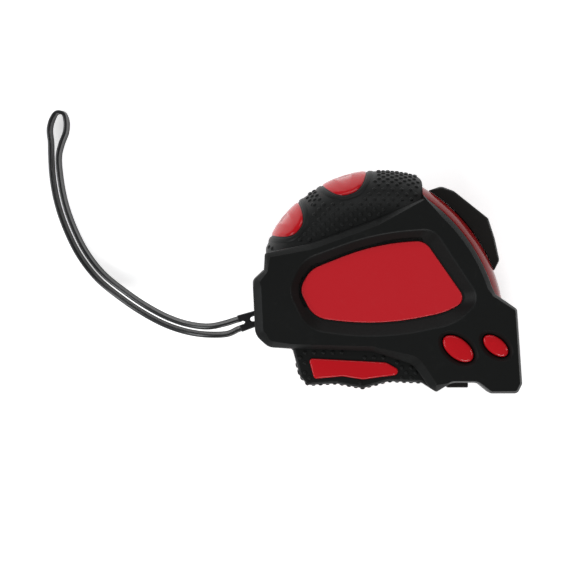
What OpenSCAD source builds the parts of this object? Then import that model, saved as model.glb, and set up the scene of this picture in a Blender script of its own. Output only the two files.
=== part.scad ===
// Pocket tape measure with a wrist strap, lying on its belt clip.
// +Z runs along the reel's axle, +X points to the mouth and +Y to the top of the case.

/* [Case] */
// Length of the case, from its back to its nose
case_l = 84; // [80:0.5:104]
// Height of the case, from its base to its crown
case_h = 69.6; // [68:0.2:86]
// Thickness of the case across both side frames
case_t = 39; // [37:0.5:48]
// Thickness of the rubber on a side frame
frame_t = 3.5; // [2.6:0.1:4.5]
// Thickness of the rubber over the crown
skin_t = 2; // [1.4:0.1:2.6]
// Thickness of the rubber under the base and round the nose
base_skin_t = 1.2; // [0.8:0.1:1.4]
// Wall of the plastic shells
shell_t = 2; // [1.6:0.1:2.4]
// Thickness of a label plate
label_t = 0.8; // [0.5:0.1:1.2]
// Width of the rubber's rounded crown in side view
crown_round = 16; // [12:0.5:18]

/* [Tape] */
// Width of the blade
blade_w = 25; // [20.8:0.2:25]
// Thickness of the blade
blade_t = 0.2; // [0.15:0.01:0.3]
// Depth of the blade's cupped section
blade_cup = 2.6; // [1.5:0.1:2.8]
// Length of blade wound on the reel
tape_len = 5000; // [3000:100:5200]
// Radius of the reel drum
drum_r = 16; // [15:0.1:16.4]
// Radius of the arbor that the reel turns on
arbor_r = 3; // [2.5:0.1:3.4]
// Radial running clearance of the reel on the arbor
run_gap = 0.05; // [0.02:0.01:0.1]
// How far the blade's straight lead can be drawn out
pull_max = 34; // [10:1:34]
// Play of the end hook, equal to the thickness of its face
hook_play = 0.9; // [0.6:0.1:1.1]
// Width of the end hook
hook_w = 20; // [14:0.5:20.6]

/* [Controls] */
// Width of the thumb lock
lock_w = 16; // [12:0.5:18]
// Angle that the thumb lock slides through
lock_swing = 8.5; // [5:0.5:8.5]
// Travel of the finger brake
brake_travel = 1.5; // [0.8:0.1:1.5]
// Width of the finger brake
brake_w = 14; // [10:0.5:15]

/* [Belt clip] */
// Width of the belt clip
clip_w = 18; // [12:0.5:18]
// Thickness of the clip's steel
clip_t = 1; // [0.8:0.1:1.2]
// Space between the case and the clip's leaf
clip_gap = 5; // [4.6:0.1:8]
// Length of the clip's leaf below its bend
clip_l = 33; // [28:1:38]

/* [Fasteners] */
// Radius of a case screw's thread
screw_r = 1.4; // [1.2:0.1:1.5]
// Radius of a case screw's head
screw_head_r = 2.7; // [2.4:0.1:2.8]
// Clearance round a screw's shank
screw_gap = 0.15; // [0.1:0.05:0.3]

/* [Strap] */
// Radius of the bar that holds the strap
bar_r = 1.2; // [1:0.1:1.4]
// Width of the strap's band
band_w = 4.4; // [3:0.2:4.4]
// Thickness of the strap's band
band_t = 2.1; // [1.6:0.1:2.1]

/* [Hidden] */

front = case_l / 2;
rear = -case_l / 2;
top = case_h / 2;
base = -case_h / 2;
mid = clip_t + clip_gap + case_t / 2;
face = case_t / 2;
core = face - frame_t;
inner = core - shell_t;
eps = 0.01;

// Reel
reel = [rear + 40.2, base + 31.8];
coil_half = blade_w / 2;
coil_r = sqrt(drum_r * drum_r + tape_len * blade_t / PI);
flange_r = coil_r + 1;
flange_t = 0.8;
drum_wall = 1.5;
flange_in = coil_half + 0.2;
well_r = flange_r + 0.5;
bore_r = arbor_r + run_gap;

// Blade and hook
blade_y = reel[1] - coil_r;
blade_tip = front - 2;
blade_tail = reel[0];
cup_from = blade_tail + 4;
cup_to = blade_tail + 14;
mouth_half = blade_w / 2 + 0.5;
hook_x = blade_tip + 0.2;
hook_t = 1;
hook_gap = 0.1;
tongue_l = 7;
tongue_w = 11;
tongue_t = 0.7;
rivet_r = 1.1;
rivet_head_r = 1.7;
rivet_z = 3;
rivets_x = [blade_tip - 5, blade_tip - 2.2];
hook_drop = 7.1;
recess_half = hook_w / 2 + 0.8;
tongue_y = blade_y + cup_rise(tongue_w / 2, blade_cup) + hook_gap;

// Bumper behind the hook
bumper_t = 1.4;
bumper_x = blade_tip - bumper_t;
bumper_h = 3.8;
bumper_y = base + 2.2;
bumper_half = 9;

// Arcs of the case in side view
crown = [rear + 40.17, top - 39.05];
crown_r = 39;
rim = [front - 57.64, top - 50.33];
rim_r = 52.5;
edge = [front - 61.78, top - 53.85];
edge_r = 55.12;
jacket_step = front - 31;
nose_top = 31;
nose_l = 16;

// Thumb lock
slot_gap = 0.3;
arm_r = 46.2;
arm_t = 2;
arm_low = -3;
arm_high = 47;
lock_half = lock_w / 2;
neck_half = 5;
neck_from = 36;
neck_to = 45.5;
pad_low = arm_low - 1.6;
pad_half = 4;
lock_line = [
    [54.3, 55.8, 0.8], [56.6, 53.6, 0.8], [57.6, 47, 3], [59.2, 37, 1.5], [57.4, 32, 3],
    [55.6, 23.4, 0.8], [rim_r + slot_gap, 21.4, 0],
];

// Leaf spring under the lock's arm, and the post it bears on
post_r = 1.2;
spring_r = 44.8;
spring_t = 0.3;
spring_from = 2;
spring_to = 22;
spring_post = ring_pt(rim, spring_r - post_r, spring_to - 2);

// Finger brake
brake_x = front - 20;
brake_l = 6.7;
brake_floor = base + 4.3;
brake_flange = 0.8;
brake_side = 1.5;

// Belt clip
clip_seat = mid - core - label_t;
clip_bend = clip_seat / 2;
clip_top = reel[1] + 9.5;
clip_foot = clip_top - clip_l;
clip_screw_r = 1.5;
clip_head_r = 3;
clip_head_t = 1.4;

// Case screws
screw_at = [
    [crown[0] - 18.6, crown[1] + 24.2], [crown[0] + 4.8, crown[1] + 31.2],
    [rear + 10.5, base + 21.3], [front - 16.9, base + 19.4],
];
boss_r = screw_head_r + 1.4;
screw_seat = 11;
screw_head_t = 1.8;
screw_bite = 9;

// Strap
bar = [rear + 3.4, base + 24.1];
bar_half = 9;
pocket_half = 6;
neck_t = 4.4;
neck_turn = 17;
neck_end = bar + [-7.4, -2.4];
neck_end_w = 5.4;
loop_gap = 0.05;
strap_lie = band_w / 2 + 0.1;

// Route of the doubled strap: place from the bar, share of the height from where it lies up to
// the bar's middle, and half of the space between the two strands' middles.
strap_route = [
    [-7.8, -2.5, 1, 1.4], [-11.4, -3.9, 0.99, 1.7], [-16.9, -4.6, 0.94, 1.3],
    [-23, -4, 0.81, 1.2], [-30.3, -1.8, 0.57, 1.2], [-38.1, 2.2, 0.31, 1.2],
    [-45.5, 7.2, 0.12, 1.2], [-52.1, 12.6, 0.02, 1.2], [-57.5, 19.5, 0, 1.2],
    [-61.4, 27.1, 0, 1.2], [-64.3, 35.3, 0, 1.2], [-65.9, 43.5, 0, 1.2],
    [-66.4, 50.7, 0, 1.2], [-66, 54.8, 0, 1.7], [-65.5, 58.8, 0, 2.6],
    [-65, 62.3, 0, 2.2], [-64.8, 64.4, 0, 1],
];

// Corners of an outline, each [x, y, radius], rounded with arcs.
function unit(v) = v / norm(v);
function corner(p, a, b) =
    let (u = unit(a - p), w = unit(b - p), half = acos(u * w) / 2, bis = unit(u + w))
    [u, w, half, bis, sign(u[0] * w[1] - u[1] * w[0])];
function arc_at(p, r, a, b, steps) =
    let (k = corner(p, a, b), c = p + k[3] * r / sin(k[2]))
    let (from = p + k[0] * r / tan(k[2]) - c, swing = (180 - 2 * k[2]) * k[4])
    [for (i = [0:steps]) let (t = -swing * i / steps)
        c + [from[0] * cos(t) - from[1] * sin(t), from[0] * sin(t) + from[1] * cos(t)]];
function xy(p) = [p[0], p[1]];
function rounded(pts, steps = 3) =
    let (n = len(pts))
    [for (i = [0:n - 1])
        let (p = pts[i], a = pts[(i + n - 1) % n], b = pts[(i + 1) % n])
        each (p[2] == 0 ? [xy(p)] : arc_at(xy(p), p[2], xy(a), xy(b), steps))];
function ring_pt(c, r, a) = [c[0] + r * cos(a), c[1] + r * sin(a)];

// Outline of the base, the nose and the strap lug.
base_line = [
    [rear + 3.2, base + 38.4, 1], [rear, base + 35.4, 2], [rear + 0.8, base + 18, 3],
    [rear + 4.7, base + 14.6, 2], [rear + 12.4, base + 13.9, 1], [rear + 14.7, base + 5.3, 2.4],
    [rear + 17.2, base + 2.6, 1.5], [rear + 26, base + 3.1, 4], [rear + 34.3, base + 1.6, 1.5],
    [rear + 42.5, base + 3.8, 5], [front - 31.5, base + 3.4, 2], [front - 26.8, base + 0.4, 1],
    [front - 22, base + 3.4, 4], [front - 14, base + 3.4, 4], [front - 10, base, 1.5],
    [front - 1.5, base, 1.5], [front, base + 3, 1.5], [front - 1.6, base + 26.3, 1.5],
    [front - 8.4, base + nose_top, 1], [front - 16, base + 44, 1], [rear + 12, base + 44, 1],
];

// Outline of a side frame.
frame_line = [
    [rear + 3.6, base + 38, 1], [rear + 0.4, base + 35.7, 1.5], [rear + 0.1, base + 34, 1.5],
    [rear + 0.9, base + 18, 3], [rear + 4.7, base + 14.6, 2], [rear + 12, base + 14.1, 1],
    [rear + 37.4, base + 13.1, 4], [rear + 50, base + 9, 4], [front - 28.6, base + 1.5, 2],
    [front - 26.8, base + 0.6, 1], [front - 22, base + 3.4, 4], [front - 14, base + 3.4, 4],
    [front - 10, base + 0.1, 1.5], [front - 1.5, base + 0.1, 1.5], [front - 0.1, base + 3, 1.5],
    [front - 1.7, base + 26.2, 1.5], [front - 8.6, base + nose_top, 0], [front + 4, base + 44, 0],
    [front - 10, base + 64, 0], [jacket_step, base + 64, 0], [jacket_step, base + 60.4, 0.5],
    [rear + 38.1, base + 54.2, 10], [rear + 18.5, base + 47.3, 8], [rear + 4.4, base + 43.3, 1.5],
];

// Outline of the label plate, and of the recess round it.
plate_line = [
    [rear + 14.6, base + 32.4, 4], [rear + 18, base + 38.6, 6], [rear + 38, base + 46.6, 14],
    [rear + 53.6, base + 47.6, 5], [front - 17.4, base + 29, 3], [front - 24, base + 25.2, 12],
    [front - 45, base + 21.2, 20], [rear + 19, base + 23.6, 7],
];
recess_line = [
    [rear + 11, base + 32, 6], [rear + 15.4, base + 41.6, 8], [rear + 38.6, base + 50.1, 14],
    [rear + 56.4, base + 51.2, 6], [front - 13.2, base + 29.4, 5], [front - 20, base + 21.8, 12],
    [front - 44.5, base + 16.8, 20], [rear + 17, base + 19.8, 9],
];
grip_pad_line = [
    [rear + 17.4, base + 11, 1], [rear + 36, base + 10, 6], [rear + 47.6, base + 6.4, 0.6],
    [rear + 40, base + 5.2, 4], [rear + 34.4, base + 4.4, 3], [rear + 28, base + 5.4, 4],
    [rear + 19.2, base + 4.6, 1],
];
rear_pad_line = [
    [rear, base + 49, 0], [rear + 10, base + 49.6, 3], [rear + 17.6, base + 53.4, 4],
    [rear + 15.6, base + 60, 3], [rear + 9, base + 66, 0],
];
top_pad_line = [
    [crown[0] - 20.5, top + 2, 0], [crown[0] - 17, top - 6, 3], [crown[0] - 10.6, top - 9.6, 4],
    [crown[0] - 6, top - 6, 4], [crown[0] - 4.2, top + 2, 0],
];
oval_at = [[front - 20.1, base + 14, 5.5, 3.1], [front - 8.4, base + 14.9, 4.5, 2.5]];
oval_turn = -38;

// Upper half of a turned solid with an elliptical shoulder, seen from its middle plane.
module turned(c, r, h, round_w, round_from) {
    shoulder = [for (a = [0:15:90])
        [r - round_w * (1 - cos(a)), round_from + (h - round_from) * sin(a)]];
    translate([c[0], c[1], 0])
        rotate_extrude($fn = 120)
            polygon(concat([[0, 0], [r, 0]], shoulder, [[0, h]]));
}

module upper_block(h, low) {
    translate([rear - 10, low, 0])
        cube([case_l + 20, top + 10 - low, h]);
}

module crown_form(cut, h) {
    intersection() {
        turned(crown, crown_r - cut, h, crown_round - cut, 0);
        upper_block(h, base + 20);
    }
}

module rim_form(cut, h) {
    turned(rim, rim_r - cut, h, 5, 8);
}

module front_block(h) {
    linear_extrude(h)
        polygon([[jacket_step, base + 40], [front - 8, base + 26], [front + 9, base + 26],
            [front + 9, top], [jacket_step, top]]);
}

// Plastic core of one half, without its hollow, with the whole form moved in by cut.
module core_form(cut, h) {
    intersection() {
        rim_form(cut, h);
        union() {
            crown_form(skin_t + cut, h);
            front_block(h);
        }
    }
    linear_extrude(h)
        offset(delta = -base_skin_t - cut)
            polygon(rounded(base_line));
    brake_seat(h);
}

// Plastic round the finger brake, where no rubber covers the arch.
module brake_block(h) {
    translate([brake_x - 5.5, base - 1, 0])
        cube([11, 9, min(h, brake_w / 2 + 2.5)]);
}

module brake_seat(h) {
    intersection() {
        brake_block(h);
        linear_extrude(h)
            polygon(rounded(base_line));
    }
}

module red_pads(h) {
    intersection() {
        turned(crown, crown_r, core + 1, crown_round, 0);
        linear_extrude(h) {
            polygon(rounded(rear_pad_line));
            polygon(rounded(top_pad_line));
        }
    }
    linear_extrude(core + 0.4)
        polygon(rounded(grip_pad_line));
    for (o = oval_at)
        translate([o[0], o[1], 0])
            rotate(oval_turn)
                linear_extrude(face)
                    polygon([for (a = [0:15:345]) [o[2] * cos(a), o[3] * sin(a)]]);
}

module hollow() {
    intersection() {
        core_form(shell_t, inner);
        translate([rear, base + 3, 0])
            cube([case_l - 5, case_h, inner]);
    }
    translate([reel[0], reel[1], 0])
        cylinder(h = inner, r = well_r, $fn = 120);
    translate([brake_x - 5, brake_floor, 0])
        cube([10, 4, brake_w / 2 + 2]);
    translate([brake_x - 11, brake_floor + 0.9, 0])
        cube([7, 3, 4.3]);
}

// The slot that the blade leaves by, and the notch that the hook rests in.
module mouth() {
    translate([front - 16, blade_y - 0.9, -1])
        cube([20, blade_cup + 1.6, mouth_half + 1]);
    translate([blade_tip, base - 1, -1])
        cube([5, 15, recess_half + 1]);
}

module lock_slot() {
    rotate_extrude_at(rim, rim_r - 3, rim_r + 3, neck_from - lock_swing - 0.5, neck_to + 0.5,
        neck_half + slot_gap);
}

// Arc-shaped bar round a centre, between two radii and two angles, half on each side of z = 0.
module rotate_extrude_at(c, r1, r2, a1, a2, half) {
    translate([c[0], c[1], -half])
        linear_extrude(2 * half)
            difference() {
                polygon(concat([[0, 0]], [for (i = [0:6])
                    let (a = a1 + (a2 - a1) * i / 6) 1.2 * r2 * [cos(a), sin(a)]]));
                circle(r1, $fn = 240);
                difference() {
                    circle(2 * r2, $fn = 60);
                    circle(r2, $fn = 240);
                }
            }
}

module strap_pocket() {
    translate([rear - 1, bar[1] - 4.2, -1])
        cube([7, 8.4, pocket_half + 1]);
}

module bosses(r, h) {
    for (p = screw_at)
        translate([p[0], p[1], 0])
            cylinder(h = h, r = r, $fn = 48);
}

// One half of the shell, with its middle plane at z = 0.
module half_shell(hole_r, hole_depth) {
    difference() {
        union() {
            difference() {
                union() {
                    core_form(0, core);
                    red_pads(core);
                }
                hollow();
            }
            intersection() {
                bosses(boss_r, core);
                core_form(0, core);
            }
            translate([spring_post[0], spring_post[1], 0])
                cylinder(h = inner + eps, r = post_r, $fn = 48);
        }
        mouth();
        strap_pocket();
        lock_slot();
        brake_window();
        translate([bar[0], bar[1], -1])
            cylinder(h = bar_half + 1, r = bar_r, $fn = 48);
        translate([bumper_x, bumper_y, -1])
            cube([bumper_t, bumper_h, bumper_half + 1]);
        translate([0, 0, -1])
            bosses(hole_r, hole_depth + 1);
    }
}

module brake_window() {
    translate([brake_x - brake_l / 2 - 0.15, base, -1])
        cube([brake_l + 0.3, 6, brake_w / 2 + 1.15]);
}

// One half of the rubber jacket, with its middle plane at z = 0.
module half_jacket() {
    difference() {
        union() {
            intersection() {
                crown_form(0, core + 2);
                union() {
                    translate([rear - 5, base, 0])
                        cube([jacket_step - rear + 5, case_h + 2, face]);
                    edge_form();
                }
            }
            intersection() {
                union() {
                    edge_form();
                    translate([front - nose_l, base - 1, 0])
                        cube([nose_l + 1, nose_top + 1, face]);
                }
                linear_extrude(face)
                    polygon(rounded(frame_line));
            }
            linear_extrude(core + 0.4)
                polygon(rounded(base_line));
        }
        core_form(0, core);
        red_pads(face + 1);
        hull() {
            translate([0, 0, core])
                linear_extrude(label_t)
                    polygon(rounded(plate_line));
            translate([0, 0, face])
                linear_extrude(1)
                    polygon(rounded(recess_line));
        }
        mouth();
        strap_pocket();
        brake_block(face);
        jacket_top_cut();
    }
}

module edge_form() {
    translate([edge[0], edge[1], 0])
        cylinder(h = face, r = edge_r, $fn = 240);
}

// Clears the base block's square top off the rim, where the plastic shows.
module jacket_top_cut() {
    difference() {
        translate([0, base + nose_top, -1])
            cube([front + 5, case_h, face + 2]);
        translate([0, 0, -2])
            scale([1, 1, 2])
                edge_form();
        translate([0, top - 20, -2])
            cube([jacket_step, 30, face + 4]);
    }
}

module near() {
    translate([0, 0, mid])
        children();
}

module far() {
    translate([0, 0, mid])
        mirror([0, 0, 1])
            children();
}

module near_shell() {
    color("firebrick")
        near()
            difference() {
                half_shell(screw_r, screw_bite);
                translate([reel[0], reel[1], 0])
                    cylinder(h = inner + 1, r = arbor_r - 1 + run_gap, $fn = 48);
            }
}

module far_shell() {
    color("firebrick")
        far()
            difference() {
                half_shell(screw_r + screw_gap, screw_seat + eps);
                translate([0, 0, screw_seat])
                    bosses(screw_head_r + screw_gap, face);
                translate([reel[0], reel[1], 0])
                    cylinder(h = face, r = clip_screw_r + screw_gap, $fn = 48);
            }
}

module near_jacket() {
    color([0.12, 0.12, 0.12])
        near()
            half_jacket();
}

module far_jacket() {
    color([0.12, 0.12, 0.12])
        far()
            difference() {
                half_jacket();
                bosses(screw_head_r + screw_gap, face);
            }
}

module label_plate() {
    translate([0, 0, core])
        linear_extrude(label_t)
            polygon(rounded(plate_line));
}

module near_label() {
    color("crimson")
        near()
            label_plate();
}

module far_label() {
    color("crimson")
        far()
            difference() {
                label_plate();
                translate([reel[0], reel[1], 0])
                    cylinder(h = face, r = clip_screw_r + screw_gap, $fn = 48);
            }
}

// Fixed post that the reel turns on and the mainspring hooks into.
module spring_arbor() {
    color("silver")
        near()
            translate([reel[0], reel[1], 0])
                difference() {
                    union() {
                        translate([0, 0, -inner])
                            cylinder(h = 2 * inner, r = arbor_r, $fn = 48);
                        cylinder(h = inner + 0.9, r = arbor_r - 1, $fn = 48);
                    }
                    translate([0, 0, -inner - 1])
                        cylinder(h = screw_bite + 2, r = clip_screw_r, $fn = 48);
                }
}

module flange(z) {
    translate([0, 0, z])
        difference() {
            cylinder(h = flange_t, r = flange_r, $fn = 120);
            translate([0, 0, -1])
                cylinder(h = flange_t + 2, r = bore_r, $fn = 48);
        }
}

module reel_drum() {
    color([0.2, 0.2, 0.22])
        near()
            translate([reel[0], reel[1], 0]) {
                flange(-flange_in - flange_t);
                translate([0, 0, -flange_in])
                    difference() {
                        cylinder(h = 2 * flange_in, r = drum_r, $fn = 120);
                        translate([0, 0, -eps])
                            cylinder(h = 2 * flange_in + 1, r = drum_r - drum_wall, $fn = 120);
                    }
            }
}

module drum_cover() {
    color([0.25, 0.25, 0.27])
        near()
            translate([reel[0], reel[1], 0])
                flange(flange_in);
}

// Flat spiral spring, wound from the arbor out to the drum.
module mainspring() {
    turns = 6;
    strip = 0.4;
    from = arbor_r + 0.2;
    to = drum_r - drum_wall - 0.2 - strip;
    steps = turns * 18;
    inner_side = [for (i = [0:steps]) ring_pt([0, 0], from + (to - from) * i / steps, i * 20)];
    outer_side = [for (i = [steps:-1:0])
        ring_pt([0, 0], from + strip + (to - from) * i / steps, i * 20)];
    color("steelblue")
        near()
            translate([reel[0], reel[1], -coil_half + 1.5])
                linear_extrude(2 * coil_half - 3)
                    polygon(concat(inner_side, outer_side));
}

module tape_coil() {
    color("gold")
        near()
            translate([reel[0], reel[1], -coil_half])
                difference() {
                    cylinder(h = 2 * coil_half, r = coil_r, $fn = 120);
                    translate([0, 0, -1])
                        cylinder(h = 2 * coil_half + 2, r = drum_r, $fn = 120);
                }
}

// Height of the cupped blade's underside at a distance z from its middle.
function cup_rise(z, depth) = depth * pow(2 * z / blade_w, 2);
blade_half_steps = 4;
blade_sides = 2 * blade_half_steps + 1;
function blade_section(x, depth) = concat(
    [for (i = [0:blade_sides - 1])
        let (z = blade_w * (i / (blade_sides - 1) - 0.5))
        [x, blade_y - blade_t + cup_rise(z, depth), z]],
    [for (i = [blade_sides - 1:-1:0])
        let (z = blade_w * (i / (blade_sides - 1) - 0.5))
        [x, blade_y + cup_rise(z, depth), z]]);

// Closed skin through a list of sections with the same even number of points.
module skin(sections) {
    n = len(sections[0]);
    m = len(sections);
    last = (m - 1) * n;
    polyhedron(
        points = [for (s = sections) each s],
        faces = concat(
            [for (i = [0:n / 2 - 2]) [n - 1 - i, n - 2 - i, i + 1, i]],
            [for (j = [0:m - 2]) for (i = [0:n - 1])
                [j * n + i, j * n + (i + 1) % n, (j + 1) * n + (i + 1) % n, (j + 1) * n + i]],
            [for (i = [0:n / 2 - 2]) [last + i, last + i + 1, last + n - 2 - i, last + n - 1 - i]]));
}

// Straight lead of the blade, flat where it leaves the coil and cupped at the mouth.
module tape_blade() {
    ease = [for (t = [0:0.25:1]) [cup_from + (cup_to - cup_from) * t, blade_cup * t * t * (3 - 2 * t)]];
    stations = concat([[blade_tail, 0]], ease, [[blade_tip, blade_cup]]);
    color("gold")
        near()
            difference() {
                skin([for (s = stations) blade_section(s[0], s[1])]);
                rivet_holes(rivet_r, 0);
            }
}

// Holes across the blade for the rivets, each drawn out along X by a play.
module rivet_holes(r, play) {
    for (x = rivets_x, z = [-rivet_z, rivet_z], slide = [0, play])
        translate([x - slide, blade_y - 2, z])
            rotate([-90, 0, 0])
                cylinder(h = 6, r = r, $fn = 36);
}

module end_hook() {
    color("gainsboro")
        near()
            difference() {
                union() {
                    translate([hook_x - tongue_l, tongue_y, -tongue_w / 2])
                        cube([tongue_l + hook_t, tongue_t, tongue_w]);
                    translate([hook_x, blade_y - hook_drop, -hook_w / 2])
                        cube([hook_t, hook_drop + tongue_t + tongue_y - blade_y, hook_w]);
                }
                for (x = rivets_x, z = [-rivet_z, rivet_z])
                    translate([x, 0, z])
                        hook_slot();
            }
}

module hook_slot() {
    rotate([-90, 0, 0])
        translate([0, 0, blade_y - 2])
            linear_extrude(8) {
                circle(rivet_r + 0.1, $fn = 36);
                translate([-hook_play, 0])
                    circle(rivet_r + 0.1, $fn = 36);
                translate([-hook_play, -rivet_r - 0.1])
                    square([hook_play, 2 * rivet_r + 0.2]);
            }
}

module hook_rivets() {
    color("silver")
        near()
            for (x = rivets_x, z = [-rivet_z, rivet_z])
                translate([x, 0, z])
                    rotate([-90, 0, 0]) {
                        translate([0, 0, blade_y - blade_t - 0.4])
                            cylinder(h = 0.4, r = rivet_head_r, $fn = 36);
                        translate([0, 0, blade_y - blade_t])
                            cylinder(h = tongue_y + tongue_t + 0.05 - blade_y + blade_t, r = rivet_r, $fn = 36);
                        translate([0, 0, tongue_y + tongue_t + 0.05])
                            cylinder(h = 0.5, r = rivet_head_r, $fn = 36);
                    }
}

module mouth_bumper() {
    color([0.1, 0.1, 0.1])
        near()
            translate([bumper_x, bumper_y, -bumper_half])
                cube([bumper_t, bumper_h, 2 * bumper_half]);
}

// Thumb lock: a ribbed cap outside, a neck through the slot and an arm down to the blade.
module thumb_lock() {
    cap = [for (p = lock_line) [each ring_pt([0, 0], p[0], p[1]), p[2]]];
    inside = [for (a = [25:5:50]) [each ring_pt([0, 0], rim_r + slot_gap, a), 0]];
    color([0.14, 0.13, 0.12])
        near() {
            translate([rim[0], rim[1], -lock_half])
                linear_extrude(lock_w)
                    difference() {
                        polygon(rounded(concat(cap, [[each ring_pt([0, 0], 50, 22), 0],
                            [each ring_pt([0, 0], 50, 55.6), 0]])));
                        circle(rim_r + slot_gap, $fn = 240);
                    }
            rotate_extrude_at(rim, arm_r, rim_r + 1, neck_from, neck_to, neck_half);
            rotate_extrude_at(rim, arm_r, arm_r + arm_t, arm_low, arm_high, neck_half);
        }
}

module brake_pad() {
    color([0.1, 0.1, 0.1])
        near()
            rotate_extrude_at(rim, arm_r, arm_r + arm_t, pad_low, arm_low, pad_half);
}

// Leaf that bears on the lock's arm and holds it where it is left.
module lock_spring() {
    color("silver")
        near()
            rotate_extrude_at(rim, spring_r, spring_r + spring_t, spring_from, spring_to, pad_half);
}

module finger_brake() {
    color([0.14, 0.13, 0.12])
        near()
            translate([brake_x, 0, -brake_w / 2]) {
                translate([-brake_l / 2, base + 1.7, 0])
                    cube([brake_l, brake_floor - base - 1.7 + eps, brake_w]);
                translate([-brake_l / 2 - brake_side, brake_floor, -brake_side])
                    cube([brake_l + 2 * brake_side, brake_flange, brake_w + 2 * brake_side]);
                translate([-brake_l / 2, brake_floor + brake_flange, 1])
                    cube([brake_l, 0.7, brake_w - 2]);
            }
}

module brake_spring() {
    color("silver")
        near()
            translate([brake_x - 10.5, brake_floor + brake_flange + 0.1, -4])
                cube([7, 0.3, 8]);
}

module case_screws() {
    color("silver")
        far()
            for (p = screw_at)
                translate([p[0], p[1], 0]) {
                    difference() {
                        translate([0, 0, screw_seat])
                            cylinder(h = screw_head_t, r = screw_head_r, $fn = 48);
                        for (a = [0, 90])
                            translate([0, 0, screw_seat + screw_head_t])
                                rotate(a)
                                    cube([3.2, 0.8, 1.6], center = true);
                    }
                    translate([0, 0, -screw_bite])
                        cylinder(h = screw_bite + screw_seat, r = screw_r, $fn = 48);
                }
}

// Spring-steel clip: a foot under its screw, a bend over the top and a leaf to the open end.
module belt_clip() {
    foot = clip_seat - clip_t;
    color("silver")
        difference() {
            translate([reel[0], 0, 0])
                rotate([90, 0, 90])
                    linear_extrude(clip_w, center = true) {
                        translate([clip_top - 18, foot])
                            square([18, clip_t]);
                        translate([clip_top, clip_bend])
                            difference() {
                                circle(clip_bend, $fn = 96);
                                circle(clip_bend - clip_t, $fn = 96);
                                translate([-20, -20])
                                    square([20, 40]);
                            }
                        translate([clip_foot + 7, 0])
                            square([clip_l - 7, clip_t]);
                        polygon([
                            [clip_foot + 7.5, 0], [clip_foot + 7.5, clip_t],
                            [clip_foot + 3, clip_t + 2.4], [clip_foot, clip_t + 1],
                            [clip_foot + 0.4, 1], [clip_foot + 3, 2.2],
                        ]);
                    }
            translate([reel[0], reel[1], foot - 1])
                cylinder(h = clip_t + 2, r = clip_screw_r + screw_gap, $fn = 48);
        }
}

module clip_screw() {
    foot = clip_seat - clip_t;
    color("silver")
        translate([reel[0], reel[1], 0])
            difference() {
                union() {
                    translate([0, 0, foot - clip_head_t])
                        cylinder(h = clip_head_t, r = clip_head_r, $fn = 48);
                    translate([0, 0, foot])
                        cylinder(h = mid - inner + screw_bite - foot, r = clip_screw_r, $fn = 48);
                }
                for (a = [0, 90])
                    translate([0, 0, foot - clip_head_t])
                        rotate(a)
                            cube([3.4, 0.8, 1.4], center = true);
            }
}

module strap_bar() {
    color("silver")
        translate([bar[0], bar[1], mid - bar_half])
            cylinder(h = 2 * bar_half, r = bar_r, $fn = 48);
}

// Moulded loop on the bar, which holds both ends of the strap.
module strap_neck() {
    color([0.1, 0.1, 0.1])
        translate([0, 0, mid - neck_t / 2])
            difference() {
                linear_extrude(neck_t)
                    difference() {
                        hull() {
                            translate(bar)
                                circle(bar_r + 1.15, $fn = 48);
                            translate(neck_end)
                                rotate(neck_turn)
                                    square([0.6, neck_end_w], center = true);
                        }
                        hull() {
                            translate(bar)
                                circle(bar_r + loop_gap, $fn = 48);
                            translate(bar + [-3.5, -1])
                                circle(0.7, $fn = 24);
                        }
                    }
                translate([bar[0], bar[1], -1])
                    cylinder(h = neck_t + 2, r = bar_r + loop_gap, $fn = 48);
            }
}

function heading(i) =
    let (n = len(strap_route), a = strap_route[max(i - 1, 0)], b = strap_route[min(i + 1, n - 1)])
    unit([b[0] - a[0], b[1] - a[1]]);
function strand(side) = [for (i = [0:len(strap_route) - 1])
    let (p = strap_route[i], h = heading(i))
    [bar[0] + p[0] - side * p[3] * h[1], bar[1] + p[1] + side * p[3] * h[0],
        strap_lie + p[2] * (mid - strap_lie)]];
out_strand = strand(1);
back_strand = strand(-1);
loop_path = concat(out_strand, [for (i = [len(back_strand) - 1:-1:0]) back_strand[i]]);
function band_section(i) =
    let (n = len(loop_path), a = loop_path[max(i - 1, 0)], b = loop_path[min(i + 1, n - 1)])
    let (h = unit([b[0] - a[0], b[1] - a[1]]), p = loop_path[i], w = band_w / 2, t = band_t / 2)
    [for (q = [[0.6 * t, -w], [-0.6 * t, -w], [-t, -0.6 * w], [-t, 0.6 * w],
        [-0.6 * t, w], [0.6 * t, w], [t, 0.6 * w], [t, -0.6 * w]])
        [p[0] - q[0] * h[1], p[1] + q[0] * h[0], p[2] + q[1]]];
module wrist_strap() {
    color([0.12, 0.12, 0.12])
        skin([for (i = [0:len(loop_path) - 1]) band_section(i)]);
}

near_shell();
far_shell();
near_jacket();
far_jacket();
near_label();
far_label();
spring_arbor();
reel_drum();
drum_cover();
mainspring();
tape_coil();
tape_blade();
end_hook();
hook_rivets();
mouth_bumper();
thumb_lock();
brake_pad();
lock_spring();
finger_brake();
brake_spring();
case_screws();
belt_clip();
clip_screw();
strap_bar();
strap_neck();
wrist_strap();
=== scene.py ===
import bpy, bmesh, math
from mathutils import Vector, Matrix


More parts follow.
